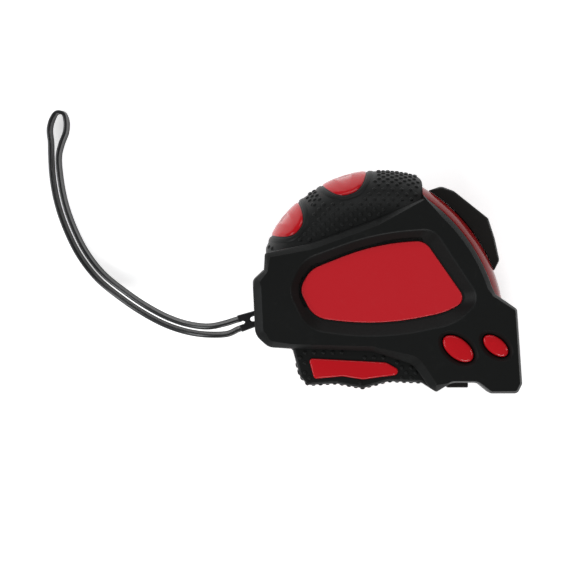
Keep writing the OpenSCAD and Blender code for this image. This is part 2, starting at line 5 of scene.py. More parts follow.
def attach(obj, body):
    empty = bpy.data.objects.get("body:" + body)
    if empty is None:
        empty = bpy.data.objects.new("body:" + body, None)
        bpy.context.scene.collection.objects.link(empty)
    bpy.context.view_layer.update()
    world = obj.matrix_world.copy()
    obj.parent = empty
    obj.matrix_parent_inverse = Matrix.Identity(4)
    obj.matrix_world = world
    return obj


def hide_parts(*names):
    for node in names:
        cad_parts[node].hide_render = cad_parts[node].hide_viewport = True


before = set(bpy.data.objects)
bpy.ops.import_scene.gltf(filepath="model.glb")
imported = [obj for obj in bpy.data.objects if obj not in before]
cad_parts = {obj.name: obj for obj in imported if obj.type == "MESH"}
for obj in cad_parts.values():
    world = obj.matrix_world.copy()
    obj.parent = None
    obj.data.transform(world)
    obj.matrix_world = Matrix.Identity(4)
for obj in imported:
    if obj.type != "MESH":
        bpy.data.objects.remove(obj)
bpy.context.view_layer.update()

mm = 0.001
mid = 25.5          # height of the plane where the two halves meet
face = 19.5         # from that plane out to a side frame
print("frame loaded")


# small helpers for modelling by hand
def clearSelection():
    if bpy.context.mode != "OBJECT":
        bpy.ops.object.mode_set(mode="OBJECT")
    bpy.ops.object.select_all(action="DESELECT")


def pick(piece):
    clearSelection()
    piece.select_set(True)
    bpy.context.view_layer.objects.active = piece


def named(name):
    piece = bpy.context.object
    piece.name = piece.data.name = name
    return piece


def editAll(piece):
    pick(piece)
    bpy.ops.object.mode_set(mode="EDIT")
    bpy.ops.mesh.select_mode(type="VERT")
    bpy.ops.mesh.select_all(action="SELECT")


def outwards(piece, merge=1e-6):
    editAll(piece)
    bpy.ops.mesh.remove_doubles(threshold=merge)
    bpy.ops.mesh.normals_make_consistent(inside=False)
    bpy.ops.object.mode_set(mode="OBJECT")


def settle(piece):
    pick(piece)
    bpy.ops.object.transform_apply(location=True, rotation=True, scale=True)


def applyAll(piece):
    pick(piece)
    for m in list(piece.modifiers):
        bpy.ops.object.modifier_apply(modifier=m.name)


def smooth(piece, angle=35):
    pick(piece)
    bpy.ops.object.shade_smooth_by_angle(angle=math.radians(angle))


def soften(piece, width, segments=2, angle=40, clamp=True):
    m = piece.modifiers.new("softEdge", "BEVEL")
    m.width = width * mm
    m.segments = segments
    m.limit_method = "ANGLE"
    m.angle_limit = math.radians(angle)
    m.use_clamp_overlap = clamp
    applyAll(piece)


def combine(piece, tool, how="DIFFERENCE", keepTool=False):
    m = piece.modifiers.new("cutTool", "BOOLEAN")
    m.operation = how
    m.object = tool
    m.solver = "EXACT"
    applyAll(piece)
    if not keepTool:
        bpy.data.objects.remove(tool)
    return piece


def joinUp(pieces, name):
    pick(pieces[0])
    for p in pieces[1:]:
        p.select_set(True)
    bpy.ops.object.join()
    return named(name)


def copyOf(piece, name):
    twin = piece.copy()
    twin.data = piece.data.copy()
    twin.name = twin.data.name = name
    bpy.context.scene.collection.objects.link(twin)
    return twin


# outlines: corners [x, y, radius] in millimetres
def rounded(corners, steps=4):
    out = []
    n = len(corners)
    for i, c in enumerate(corners):
        p, r = Vector(c[:2]), c[2]
        if r == 0:
            out.append((p.x, p.y))
            continue
        u = (Vector(corners[i - 1][:2]) - p).normalized()
        w = (Vector(corners[(i + 1) % n][:2]) - p).normalized()
        half = u.angle(w) / 2
        centre = p + (u + w).normalized() * r / math.sin(half)
        turn = 1 if u.x * w.y - u.y * w.x > 0 else -1
        start = p + u * r / math.tan(half) - centre
        for k in range(steps + 1):
            t = -turn * (math.pi - 2 * half) * k / steps
            out.append((centre.x + start.x * math.cos(t) - start.y * math.sin(t),
                        centre.y + start.x * math.sin(t) + start.y * math.cos(t)))
    return out


def grown(line, d):
    # a closed line moved along its own normals, outwards for a positive d, or by a list of one d a point;
    # points that would fold over each other at a tight corner are closed into one
    n = len(line)
    area = sum(line[i - 1][0] * line[i][1] - line[i][0] * line[i - 1][1] for i in range(n))
    side = 1 if area > 0 else -1
    reach = d if isinstance(d, list) else [d] * n
    pts = [Vector(p[:2]) for p in line]
    edges = []
    for i in range(n):
        e = pts[(i + 1) % n] - pts[i]
        edges.append(e.normalized() if e.length > 1e-6 else edges[-1])

    def normal(e):
        return Vector((e.y, -e.x)) * side

    def spot(first, last):
        # where the edge before the first point and the one after the last meet once both are moved
        u, w = edges[first - 1], edges[last]
        k = sum(reach[i] for i in range(first,
                                        last + 1)) / (last - first + 1) if last >= first else reach[first]
        a, b = pts[first] + normal(u) * k, pts[last] + normal(w) * k
        cross = u.x * w.y - u.y * w.x
        if abs(cross) < 0.05:
            return (a + b) / 2
        return a + u * (((b - a).x * w.y - (b - a).y * w.x) / cross)

    runs = [[i, i, spot(i, i)] for i in range(n)]
    folded = True
    while folded:
        folded = False
        for g in range(len(runs) - 1):
            a, b = runs[g], runs[g + 1]
            if (b[2] - a[2]).dot(pts[b[0]] - pts[a[1]]) < 0:
                runs[g:g + 2] = [[a[0], b[1], spot(a[0], b[1])]]
                folded = True
                break
    out = []
    for first, last, p in runs:
        out.extend([(p.x, p.y)] * (last - first + 1))
    return out


def ovalRing(x, y, a, b, out=0, turn=math.radians(-38), n=56):
    # an oval of half axes a and b, each longer by out
    c, s = math.cos(turn), math.sin(turn)
    spots = [((a + out) * math.cos(t), (b + out) * math.sin(t)) for t in [math.tau * k / n for k in range(n)]]
    return [(x + u * c - v * s, y + u * s + v * c) for u, v in spots]


def rings(name, levels):
    # a flat face lifted level by level; each level is a line of the same length and its height
    clearSelection()
    line, z = levels[0]
    bpy.ops.mesh.primitive_circle_add(vertices=len(line), radius=mm, fill_type="NGON")
    piece = named(name)
    for v, p in zip(piece.data.vertices, line):
        v.co = (p[0] * mm, p[1] * mm, z * mm)
    bpy.ops.object.mode_set(mode="EDIT")
    bpy.ops.mesh.select_all(action="SELECT")
    for line, z in levels[1:]:
        bpy.ops.mesh.extrude_region_move()
        work = bmesh.from_edit_mesh(piece.data)
        top = next(f for f in work.faces if f.select)
        for v, p in zip(top.verts, line):
            v.co = (p[0] * mm, p[1] * mm, z * mm)
        bmesh.update_edit_mesh(piece.data)
    bpy.ops.object.mode_set(mode="OBJECT")
    outwards(piece)
    return piece


def lathe(name, centre, profile, steps=120):
    # a closed profile of [radius, height] spun round an upright axis
    clearSelection()
    bpy.ops.mesh.primitive_circle_add(vertices=len(profile), radius=mm, fill_type="NOTHING")
    piece = named(name)
    for v, p in zip(piece.data.vertices, profile):
        v.co = ((centre[0] + p[0]) * mm, centre[1] * mm, p[1] * mm)
    editAll(piece)
    bpy.ops.mesh.spin(steps=steps, angle=math.tau, center=(centre[0] * mm, centre[1] * mm, 0), axis=(0, 0, 1))
    bpy.ops.object.mode_set(mode="OBJECT")
    outwards(piece)
    return piece


def cutPlane(piece, point, normal):
    # cuts away what lies on the normal's side and closes the cut
    editAll(piece)
    bpy.ops.mesh.bisect(plane_co=[c * mm for c in point], plane_no=normal, use_fill=True, clear_outer=True)
    bpy.ops.object.mode_set(mode="OBJECT")
    outwards(piece)


def block(name, low, high):
    clearSelection()
    centre = [(a + b) / 2 * mm for a, b in zip(low, high)]
    bpy.ops.mesh.primitive_cube_add(size=1, location=centre, scale=[(b - a) * mm for a, b in zip(low, high)])
    piece = named(name)
    settle(piece)
    return piece


def place(piece, side):
    # a half is modelled on its middle plane: the near one is lifted, the far one mirrored below
    flip = -1 if side == "far" else 1
    piece.data.transform(Matrix.Translation((0, 0, mid * mm)) @ Matrix.Diagonal((1, 1, flip, 1)))
    if side == "far":
        piece.data.flip_normals()
    piece.data.update()


def finishPiece(piece, body, material, slotName, *nodes):
    # large flat faces keep their own normal, so that only the rounded edges shade round
    m = piece.modifiers.new("evenShade", "WEIGHTED_NORMAL")
    m.keep_sharp = True
    applyAll(piece)
    piece.data.materials.clear()
    piece.data.materials.append(material)
    if nodes:
        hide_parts(*nodes)
    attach(piece, body)


# finishes
def newGroup(name, ins, outs):
    g = bpy.data.node_groups.new(name, "ShaderNodeTree")
    for label, kind, value in ins:
        s = g.interface.new_socket(name=label, in_out="INPUT", socket_type=kind)
        s.default_value = value
    for label, kind in outs:
        g.interface.new_socket(name=label, in_out="OUTPUT", socket_type=kind)
    return g, g.nodes.new("NodeGroupInput"), g.nodes.new("NodeGroupOutput")


def node(tree, kind, **values):
    n = tree.nodes.new(kind)
    for k, v in values.items():
        if k in n.inputs:
            n.inputs[k].default_value = v
        else:
            setattr(n, k, v)
    return n


def mathNode(tree, operation, a, b=None):
    n = tree.nodes.new("ShaderNodeMath")
    n.operation = operation
    for i, v in enumerate((a, b)):
        if v is None:
            continue
        if isinstance(v, (int, float)):
            n.inputs[i].default_value = v
        else:
            tree.links.new(v, n.inputs[i])
    return n.outputs[0]


def makeSurfaceGroup():
    # moulded surface: fine grain, cloudy colour, faint scuffs and dust in one place
    g, gin, gout = newGroup("mouldedSurface",
        [("Base", "NodeSocketColor", (0.5, 0.5, 0.5, 1)), ("Worn", "NodeSocketColor", (0.6, 0.6, 0.6, 1)),
         ("Grain Scale", "NodeSocketFloat", 1500.0), ("Scuff", "NodeSocketFloat", 0.2),
         ("Roughness", "NodeSocketFloat", 0.4), ("Spread", "NodeSocketFloat", 0.08)],
        [("Color", "NodeSocketColor"), ("Roughness", "NodeSocketFloat"), ("Height", "NodeSocketFloat")])
    place3 = node(g, "ShaderNodeTexCoord")
    grain = node(g, "ShaderNodeTexNoise", Detail=3.0, Roughness=0.6)
    cloud = node(g, "ShaderNodeTexNoise", Scale=55.0, Detail=4.0)
    scuff = node(g, "ShaderNodeTexNoise", Scale=260.0, Detail=6.0, Roughness=0.75, Distortion=1.2)
    for n in (grain, cloud, scuff):
        g.links.new(place3.outputs["Object"], n.inputs["Vector"])
    g.links.new(gin.outputs["Grain Scale"], grain.inputs["Scale"])
    ramp = node(g, "ShaderNodeValToRGB")
    ramp.color_ramp.elements[0].position = 0.56
    ramp.color_ramp.elements[1].position = 0.74
    g.links.new(scuff.outputs["Fac"], ramp.inputs["Fac"])
    amount = mathNode(g, "MULTIPLY", ramp.outputs["Color"], gin.outputs["Scuff"])
    clouds = mathNode(g, "MULTIPLY", mathNode(g, "SUBTRACT", cloud.outputs["Fac"], 0.5), 0.35)
    mask = mathNode(g, "MAXIMUM", mathNode(g, "ADD", amount, clouds), 0.0)
    mix = node(g, "ShaderNodeMix", data_type="RGBA")
    g.links.new(mask, mix.inputs[0])
    g.links.new(gin.outputs["Base"], mix.inputs[6])
    g.links.new(gin.outputs["Worn"], mix.inputs[7])
    g.links.new(mix.outputs[2], gout.inputs["Color"])
    wave = mathNode(g, "MULTIPLY", mathNode(g, "SUBTRACT", grain.outputs["Fac"], 0.5), gin.outputs["Spread"])
    rough = mathNode(g, "ADD", mathNode(g, "ADD", wave, gin.outputs["Roughness"]),
                     mathNode(g, "MULTIPLY", amount, 0.25))
    g.links.new(rough, gout.inputs["Roughness"])
    g.links.new(mathNode(g, "ADD", grain.outputs["Fac"],
                         mathNode(g, "MULTIPLY", cloud.outputs["Fac"], 0.3)), gout.inputs["Height"])
    return g


def makeBrushedGroup():
    # drawn or rolled metal: long streaks along X
    g, gin, gout = newGroup("rolledMetal",
        [("Base", "NodeSocketColor", (0.6, 0.6, 0.6, 1)), ("Dull", "NodeSocketColor", (0.3, 0.3, 0.3, 1)),
         ("Roughness", "NodeSocketFloat", 0.3)],
        [("Color", "NodeSocketColor"), ("Roughness", "NodeSocketFloat"), ("Height", "NodeSocketFloat")])
    place3 = node(g, "ShaderNodeTexCoord")
    stretch = node(g, "ShaderNodeMapping")
    stretch.inputs["Scale"].default_value = (60, 1800, 1800)
    g.links.new(place3.outputs["Object"], stretch.inputs["Vector"])
    streak = node(g, "ShaderNodeTexNoise", Scale=1.0, Detail=4.0)
    g.links.new(stretch.outputs["Vector"], streak.inputs["Vector"])
    spots = node(g, "ShaderNodeTexNoise", Scale=180.0, Detail=5.0)
    g.links.new(place3.outputs["Object"], spots.inputs["Vector"])
    mask = mathNode(g, "MULTIPLY", streak.outputs["Fac"], spots.outputs["Fac"])
    mix = node(g, "ShaderNodeMix", data_type="RGBA")
    g.links.new(mask, mix.inputs[0])
    g.links.new(gin.outputs["Base"], mix.inputs[6])
    g.links.new(gin.outputs["Dull"], mix.inputs[7])
    g.links.new(mix.outputs[2], gout.inputs["Color"])
    g.links.new(mathNode(g, "ADD", mathNode(g, "MULTIPLY", streak.outputs["Fac"], 0.18),
                         gin.outputs["Roughness"]), gout.inputs["Roughness"])
    g.links.new(streak.outputs["Fac"], gout.inputs["Height"])
    return g


mouldedSurface = makeSurfaceGroup()
rolledMetal = makeBrushedGroup()


def finish(name, group, colours, bump, sockets, **values):
    m = bpy.data.materials.new(name)
    m.use_nodes = True
    t = m.node_tree
    shader = t.nodes["Principled BSDF"]
    g = t.nodes.new("ShaderNodeGroup")
    g.node_tree = group
    for label, c in zip([s.name for s in g.inputs if s.type == "RGBA"], colours):
        g.inputs[label].default_value = (*c, 1)
    for label, v in values.items():
        g.inputs[label.replace("_", " ")].default_value = v
    for label, v in sockets.items():
        shader.inputs[label].default_value = v
    b = node(t, "ShaderNodeBump", Strength=bump, Distance=0.0001)
    t.links.new(g.outputs["Color"], shader.inputs["Base Color"])
    t.links.new(g.outputs["Roughness"], shader.inputs["Roughness"])
    t.links.new(g.outputs["Height"], b.inputs["Height"])
    t.links.new(b.outputs["Normal"], shader.inputs["Normal"])
    return m


rubberFinish = {"colour": (0.0092, 0.0098, 0.0095), "worn": (0.02, 0.021, 0.02), "roughness": 0.42,
                "grain": 1700}
# the rim colour is painted shade: the same red plastic as the gloss, made darker because the steep rim wall
# falls into shade
redFinish = {"gloss": (0.53, 0.008, 0.014), "plate": (0.56, 0.008, 0.016), "rim": (0.23, 0.004, 0.005)}

rubber = finish("blackRubber", mouldedSurface, [rubberFinish["colour"], rubberFinish["worn"]], 0.25,
    {"Specular IOR Level": 0.14}, Roughness=rubberFinish["roughness"],
    Grain_Scale=rubberFinish["grain"], Scuff=0.25, Spread=0.12)
glossRed = finish("glossRed", mouldedSurface, [redFinish["gloss"], (0.7, 0.05, 0.06)], 0.04,
    {"Specular IOR Level": 0.28}, Roughness=0.18, Grain_Scale=400.0, Scuff=0.1, Spread=0.04)
# painted shade: a darker copy of the gloss red, used for the shells' rim
shadedRimRed = finish("shadedRimRed", mouldedSurface, [redFinish["rim"], (0.45, 0.03, 0.03)], 0.04,
    {"Specular IOR Level": 0.3}, Roughness=0.17, Grain_Scale=400.0, Scuff=0.1, Spread=0.04)
plateRed = finish("plateRed", mouldedSurface, [redFinish["plate"], (0.55, 0.03, 0.04)], 0.12,
    {"Specular IOR Level": 0.45}, Roughness=0.42, Grain_Scale=1300.0, Scuff=0.12, Spread=0.08)
lockBlack = finish("lockBlack", mouldedSurface, [(0.0105, 0.0095, 0.0085), (0.04, 0.036, 0.032)], 0.15,
    {"Specular IOR Level": 0.5}, Roughness=0.33, Grain_Scale=1200.0, Scuff=0.2, Spread=0.08)
strapBlack = finish("strapBlack", mouldedSurface, [(0.010, 0.0102, 0.011), (0.05, 0.05, 0.052)], 0.15,
    {"Specular IOR Level": 0.55}, Roughness=0.3, Grain_Scale=1500.0, Scuff=0.3, Spread=0.1)
greyPlastic = finish("greyPlastic", mouldedSurface, [(0.16, 0.16, 0.17), (0.25, 0.25, 0.26)], 0.15,
    {}, Roughness=0.45, Grain_Scale=1200.0, Scuff=0.2, Spread=0.08)
springSteel = finish("springSteel", rolledMetal, [(0.5, 0.51, 0.53), (0.2, 0.2, 0.21)], 0.12,
                     {"Metallic": 1.0}, Roughness=0.24)
platedSteel = finish("platedSteel", rolledMetal, [(0.78, 0.78, 0.79), (0.45, 0.45, 0.46)], 0.06,
                     {"Metallic": 1.0}, Roughness=0.14)


def makeBladePaint():
    # yellow blade with a printed edge scale: a tick each millimetre, longer at 5 and 10
    m = finish("bladePaint", mouldedSurface, [(0.78, 0.5, 0.03), (0.6, 0.36, 0.03)], 0.05,
        {"Coat Weight": 0.3, "Coat Roughness": 0.15}, Roughness=0.34, Grain_Scale=900.0, Scuff=0.2,
        Spread=0.05)
    t = m.node_tree
    shader = t.nodes["Principled BSDF"]
    where = node(t, "ShaderNodeTexCoord")
    parts = node(t, "ShaderNodeSeparateXYZ")
    t.links.new(where.outputs["Object"], parts.inputs[0])
    x = mathNode(t, "MULTIPLY", mathNode(t, "SUBTRACT", 0.0402, parts.outputs["X"]), 1000.0)
    across = mathNode(t, "MULTIPLY", mathNode(t, "ABSOLUTE",
                                              mathNode(t, "SUBTRACT", parts.outputs["Z"], mid * mm)), 1000.0)
    marks = None
    for step, width, reach in ((1, 0.14, 9.6), (5, 0.18, 7.9), (10, 0.22, 5.6)):
        off = mathNode(t, "ABSOLUTE", mathNode(t, "SUBTRACT",
                                               mathNode(t, "FLOORED_MODULO",
                                                        mathNode(t, "ADD", x, step / 2), step), step / 2))
        tick = mathNode(t, "MULTIPLY", mathNode(t, "LESS_THAN", off, width / 2),
                        mathNode(t, "GREATER_THAN", across, reach))
        marks = tick if marks is None else mathNode(t, "MAXIMUM", marks, tick)
    ink = node(t, "ShaderNodeMix", data_type="RGBA")
    t.links.new(marks, ink.inputs[0])
    old = shader.inputs["Base Color"].links[0].from_socket
    t.links.new(old, ink.inputs[6])
    ink.inputs[7].default_value = (0.012, 0.012, 0.012, 1)
    t.links.new(ink.outputs[2], shader.inputs["Base Color"])
    return m


bladePaint = makeBladePaint()
coilPaint = finish("coilPaint", rolledMetal, [(0.72, 0.47, 0.04), (0.4, 0.25, 0.03)], 0.2,
                   {"Metallic": 0.2}, Roughness=0.35)
print("finishes made")

# camera, light and floor
studio = {"lens": 363.9, "height": 1.835, "aim": (-0.0319, -0.001), "world": 0.12, "side": 2.5,
          "floorGlow": 0.6}

clearSelection()
bpy.ops.object.camera_add(location=(*studio["aim"], studio["height"]), rotation=(0, 0, 0))
camera = bpy.context.object
camera.data.lens = studio["lens"]
camera.data.sensor_width = 36
camera.data.clip_start = 0.01
bpy.context.scene.camera = camera

clearSelection()
bpy.ops.mesh.primitive_plane_add(size=3, location=(0, 0, -0.0002))
floor = named("floor")
floorFinish = bpy.data.materials.new("floorWhite")
floorFinish.use_nodes = True
floorShader = floorFinish.node_tree.nodes["Principled BSDF"]
floorShader.inputs["Base Color"].default_value = (0.93, 0.93, 0.93, 1)
floorShader.inputs["Roughness"].default_value = 0.9
floorShader.inputs["Specular IOR Level"].default_value = 0.1
floorShader.inputs["Emission Color"].default_value = (1, 1, 1, 1)
floorShader.inputs["Emission Strength"].default_value = studio["floorGlow"]
floor.data.materials.append(floorFinish)

world = bpy.data.worlds.new("studioRoom")
bpy.context.scene.world = world
world.use_nodes = True
world.node_tree.nodes["Background"].inputs["Color"].default_value = (1, 1, 1, 1)
world.node_tree.nodes["Background"].inputs["Strength"].default_value = studio["world"]


def softbox(name, spot, aim, size, power, tint=(1, 1, 1)):
    clearSelection()
    bpy.ops.object.light_add(type="AREA", location=spot)
    lamp = bpy.context.object
    lamp.name = name
    lamp.data.shape = "RECTANGLE"
    lamp.data.size, lamp.data.size_y = size
    lamp.data.energy = power
    lamp.data.color = tint
    lamp.rotation_euler = (Vector(aim) - Vector(spot)).to_track_quat("-Z", "Y").to_euler()
    return lamp


softbox("windowTop", (-0.1, 1.0, 0.75), (0, 0, 0), (1.2, 0.5), studio["side"] * 1.9, (0.98, 0.99, 1.0))
softbox("windowLeft", (-1.0, -0.1, 0.7), (0, 0, 0), (0.8, 0.4), studio["side"] * 2.4, (0.96, 0.98, 1.0))
softbox("lowFront", (0.1, -0.9, 0.8), (0, 0, 0), (0.7, 0.3), studio["side"] * 2.4)
softbox("rightFill", (0.9, 0.2, 0.7), (0, 0, 0), (0.3, 0.12), studio["side"] * 0.7)
bpy.context.scene.view_settings.view_transform = "Standard"
print("studio ready")

# wrist strap: one moulded band on edge, out and back through its loop
strap = {
    "slit": (-47.0, -13.4, 2.7, 0.75),   # centre and half axes
    "bar": (-38.6, -10.7), "lie": 2.3, "tilt": 13, "width": 4.3, "thick": 1.15, "steps": 10,
    "route": [
        [-6.6, -2.15, 1, 1.4], [-8.6, -2.8, 1, 1.5], [-11.4, -3.9, 0.99, 1.7], [-16.9, -4.6, 0.94, 1.3],
        [-23, -4, 0.81, 1.2],
        [-30.3, -1.8, 0.57, 1.2], [-38.1, 2.2, 0.31, 1.2], [-45.5, 7.2, 0.12, 1.2], [-52.1, 12.6, 0.02, 1.2],
        [-57.5, 19.5, 0, 1.2], [-61.4, 27.1, 0, 1.2], [-64.3, 35.3, 0, 1.2], [-65.9, 43.5, 0, 1.2],
        [-66.4, 50.7, 0, 1.2], [-66, 54.8, 0, 1.7], [-65.5, 58.8, 0, 2.6], [-65, 62.3, 0, 2.2],
        [-64.8, 64.4, 0, 1]],
}


def strapLoop():
    pts = strap["route"]
    n = len(pts)
    sides = {1: [], -1: []}
    for i, p in enumerate(pts):
        a, b = pts[max(i - 1, 0)], pts[min(i + 1, n - 1)]
        h = Vector((b[0] - a[0], b[1] - a[1])).normalized()
        z = strap["lie"] + p[2] * (mid - strap["lie"])
        for s in (1, -1):
            sides[s].append(Vector((strap["bar"][0] + p[0] - s * p[3] * h.y,
                                    strap["bar"][1] + p[1] + s * p[3] * h.x, z)))
    return sides[1] + sides[-1][::-1]


def throughPoints(pts, steps):
    # a smooth line through all the points
    out = []
    n = len(pts)
    for i in range(n - 1):
        p0, p1, p2, p3 = pts[max(i - 1, 0)], pts[i], pts[i + 1], pts[min(i + 2, n - 1)]
        d1, d2, d3 = [max((b - a).length, 1e-3) ** 0.5 for a, b in ((p0, p1), (p1, p2), (p2, p3))]
        m1 = (p2 - p1) if i == 0 else ((p1 - p0) / d1 - (p2 - p0) / (d1 + d2) + (p2 - p1) / d2) * d2
        m2 = (p2 - p1) if i == n - 2 else ((p2 - p1) / d2 - (p3 - p1) / (d2 + d3) + (p3 - p2) / d3) * d2
        for k in range(steps):
            t = k / steps
            out.append(p1 * (2 * t**3 - 3 * t**2 + 1) + m1 * (t**3 - 2 * t**2 + t)
                       + p2 * (3 * t**2 - 2 * t**3) + m2 * (t**3 - t**2))
    out.append(pts[-1])
    return out


def makeStrap():
    path = throughPoints(strapLoop(), strap["steps"])
    half, t = strap["width"] / 2, strap["thick"] / 2
    edge = [(-half, 0.45 * t), (-0.94 * half, 0.85 * t), (-0.87 * half, t), (-0.79 * half, t),
            (-0.72 * half, 0.72 * t)]
    ridges = [(-0.56 * half + 0.14 * half * k, (0.86 if k % 2 else 0.7) * t) for k in range(9)]
    oneSide = edge + ridges + [(-v, w) for v, w in edge[::-1]]
    section = oneSide + [(v, -w) for v, w in oneSide[::-1]]
    verts, faces, n = [], [], len(section)
    tilt = math.radians(strap["tilt"])
    for i, p in enumerate(path):
        a, b = path[max(i - 1, 0)], path[min(i + 1, len(path) - 1)]
        h = Vector((b.x - a.x, b.y - a.y, 0)).normalized()
        side = Vector((-h.y, h.x, 0))
        turn = math.cos(math.pi * min(1, max(0, (i / len(path) - 0.44) / 0.12)))
        lean = tilt * turn
        up = Vector((0, 0, 1)) * math.cos(lean) + side * math.sin(lean)
        out = side * math.cos(lean) - Vector((0, 0, 1)) * math.sin(lean)
        for v, w in section:
            verts.append((p + up * v + out * w) * mm)
    for i in range(len(path) - 1):
        for k in range(n):
            faces.append((i * n + k, i * n + (k + 1) % n, (i + 1) * n + (k + 1) % n, (i + 1) * n + k))
    faces.append(tuple(range(n)))
    faces.append(tuple((len(path) - 1) * n + k for k in reversed(range(n))))
    mesh = bpy.data.meshes.new("wristStrap")
    mesh.from_pydata([tuple(v) for v in verts], [], faces)
    piece = bpy.data.objects.new("wristStrap", mesh)
    bpy.context.scene.collection.objects.link(piece)
    outwards(piece)
    smooth(piece, 50)
    line = [tuple(p * mm) for p in path]
    length = sum((Vector(b) - Vector(a)).length for a, b in zip(line, line[1:]))
    return piece, line, length


def refine(nodeName, name, width, segments=2, angle=40, clamp=True, facet=30):
    # a CAD piece with its loose triangles joined and its sharp edges broken
    piece = copyOf(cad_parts[nodeName], name)
    piece.parent = None
    piece.matrix_world = Matrix.Identity(4)
    piece.hide_render = False
    piece.hide_set(False)
    pick(piece)
    bpy.ops.mesh.customdata_custom_splitnormals_clear()
    editAll(piece)
    bpy.ops.mesh.remove_doubles(threshold=2e-6)
    bpy.ops.mesh.dissolve_limited(angle_limit=math.radians(0.6), delimit={"NORMAL"})
    bpy.ops.object.mode_set(mode="OBJECT")
    if width:
        soften(piece, width, segments, angle, clamp)
    smooth(piece, facet)
    return piece


strapPiece, strapLine, strapLength = makeStrap()
neckPiece = refine("strap_neck", "strapNeck", 0.45, 3)
# the two strands part from the neck round the end of a narrow slit
slit = ovalRing(*strap["slit"], turn=math.radians(18))
combine(neckPiece, rings("slitTool", [(slit, 0), (slit, 45)]))
smooth(neckPiece, 35)
finishPiece(strapPiece, "case", strapBlack, "strap_rubber", "wrist_strap")
finishPiece(neckPiece, "case", strapBlack, "strap_rubber", "strap_neck")
print("strap done, length", round(strapLength, 4))

# rubber jackets
jacket = {
    "crown": (-1.83, -4.25), "crownR": 39.05, "crownH": 17.3, "shoulder": 15.3, "skin": 2,
    "edge": (-19.78, -19.05), "edgeR": 55.12, "rim": (-15.64, -15.53), "rimR": 52.5,
    "step": 11, "coreH": 16.0, "baseH": 16.4, "parting": 0.22,
    "flat": 12,                       # inner radius of the crown's flat top, hidden under the side frame
    "crownLow": -8, "crownRear": -37.9, "rimLow": -9,
    "corner": (8, 30.43), "cornerR": 3, "cornerEnd": 74.2,
}
# corner x and y, corner radius, and how far the face is chamfered there
frameLine = [
    [-38.5, 3.4, 1, 1.2], [-41.5, 0.9, 1.8, 1.8], [-41.9, -1.6, 3, 2.6], [-41.2, -16.6, 5, 2.6],
    [-37.0, -20.4, 4, 1.9],
    [-30, -20.7, 0, 1.3], [-4.6, -21.7, 4, 1.6], [8, -25.8, 4, 2.7], [13.4, -33.3, 2, 2.5],
    [15.2, -34.2, 1, 1.8],
    [20, -31.4, 4, 0.5], [28, -31.4, 4, 0.5], [32, -34.7, 1.5, 0.6], [40.5, -34.7, 1.5, 0.7],
    [41.9, -31.8, 1.5, 0.7],
    [40.3, -8.6, 1.5, 0.6], [33.6, -3.9, 0, 0.9]]
frameBack = [[-3.9, 19.3, 14, 2.0], [-23.5, 12.1, 14, 2.0], [-38.2, 8.9, 0.8, 1.6]]
# corner x and y, and corner radius
baseLine = [
    [-38.8, 3.6, 1], [-42, 0.6, 2], [-41.2, -16.6, 5], [-37.0, -20.4, 4], [-29.6, -20.9, 1],
    [-27.3, -29.5, 2.4],
    [-24.8, -32.2, 1.5], [-16, -31.7, 4], [-7.7, -33.2, 1.5], [0.5, -31, 5], [10.5, -31.4, 2],
    [15.2, -34.4, 1],
    [20, -31.4, 4], [28, -31.4, 4], [32, -34.8, 1.5], [40.5, -34.8, 1.5], [42, -31.8, 1.5], [40.4, -8.5, 1.5],
    [33.6, -3.8, 1], [26, 9.2, 1], [-30, 9.2, 1]]
baseInside = [
    [-37.5, 1.6, 0], [-39.8, -0.4, 0], [-39.1, -15.8, 0], [-36.6, -18.2, 0], [-27.9, -18.9, 0],
    [-25.4, -28.6, 0],
    [-23.8, -30.1, 0], [-16, -29.7, 0], [-7.6, -31.1, 0], [0.6, -28.9, 0], [10.9, -29.3, 0], [15.2, -32.2, 0],
    [19.5, -29.4, 0], [28.5, -29.4, 0], [32.8, -32.8, 0], [39.6, -32.8, 0], [39.9, -31.4, 0], [38.4, -9.6, 0],
    [32.4, -5.2, 0], [24, 8.8, 0], [-29, 8.8, 0]]
plateLine = [
    [-27.4, -2.4, 5], [-24, 3.8, 8], [-4, 11.8, 70], [11.6, 12.8, 5], [24.6, -5.8, 3], [18, -9.6, 24],
    [-3, -13.6, 80], [-23, -11.2, 8]]
recessLine = [
    [-31, -2.8, 7], [-26.6, 6.8, 10], [-3.4, 15.3, 80], [14.4, 16.4, 6], [28.8, -5.4, 5], [22, -13, 16],
    [-2.5, -18, 80], [-25, -15, 10]]
gripPad = [[-24.6, -23.8, 1], [-0.4, -25.1, 4], [5.8, -28.6, 1.2], [-2, -29.6, 4], [-7.6, -30.4, 3],
           [-14, -29.4, 4], [-22.8, -30.2, 1]]
ovals = [[21.9, -20.8, 5.5, 3.1], [33.6, -19.9, 4.5, 2.5]]
pads = {"rear": [141.5, 9.9, 53.5], "top": [107.4, 10.7,
                                            52.5]}   # middle angle, half angle, reach up the shoulder
caseScrews = [(-20.43, 19.95), (2.97, 26.95), (-31.5, -13.5), (25.1, -15.4)]
screwHole = {"radius": 2.85, "noDots": 3.9}


def withArc():
    # the frame's outline, its front edge along an arc
    c, r = jacket["edge"], jacket["edgeR"]
    line, chamfer = [], []

    def add(corners, whole):
        for i, p in enumerate(whole):
            if p not in corners:
                continue
            got = rounded([whole[i - 1][:3], p[:3], whole[(i + 1) % len(whole)][:3]], 4)
            first = 1 if whole[i - 1][2] == 0 else 5
            count = 1 if p[2] == 0 else 5
            line.extend(got[first:first + count])
            chamfer.extend([p[3]] * count)
    stepTop = [jacket["step"], 27.2, 0, 0.25]
    stepLow = [jacket["step"], 25.8, 0, 0.45]
    whole = frameLine + [stepTop, stepLow] + frameBack
    add(frameLine, whole)
    for k in range(1, 16):
        a = math.radians(16.0 + (56.05 - 16.0) * k / 16)
        line.append((c[0] + r * math.cos(a), c[1] + r * math.sin(a)))
        chamfer.append(min(1.5, 0.2 + 0.35 * (16 - k)))
    add([stepTop, stepLow] + frameBack, whole)
    return line, chamfer


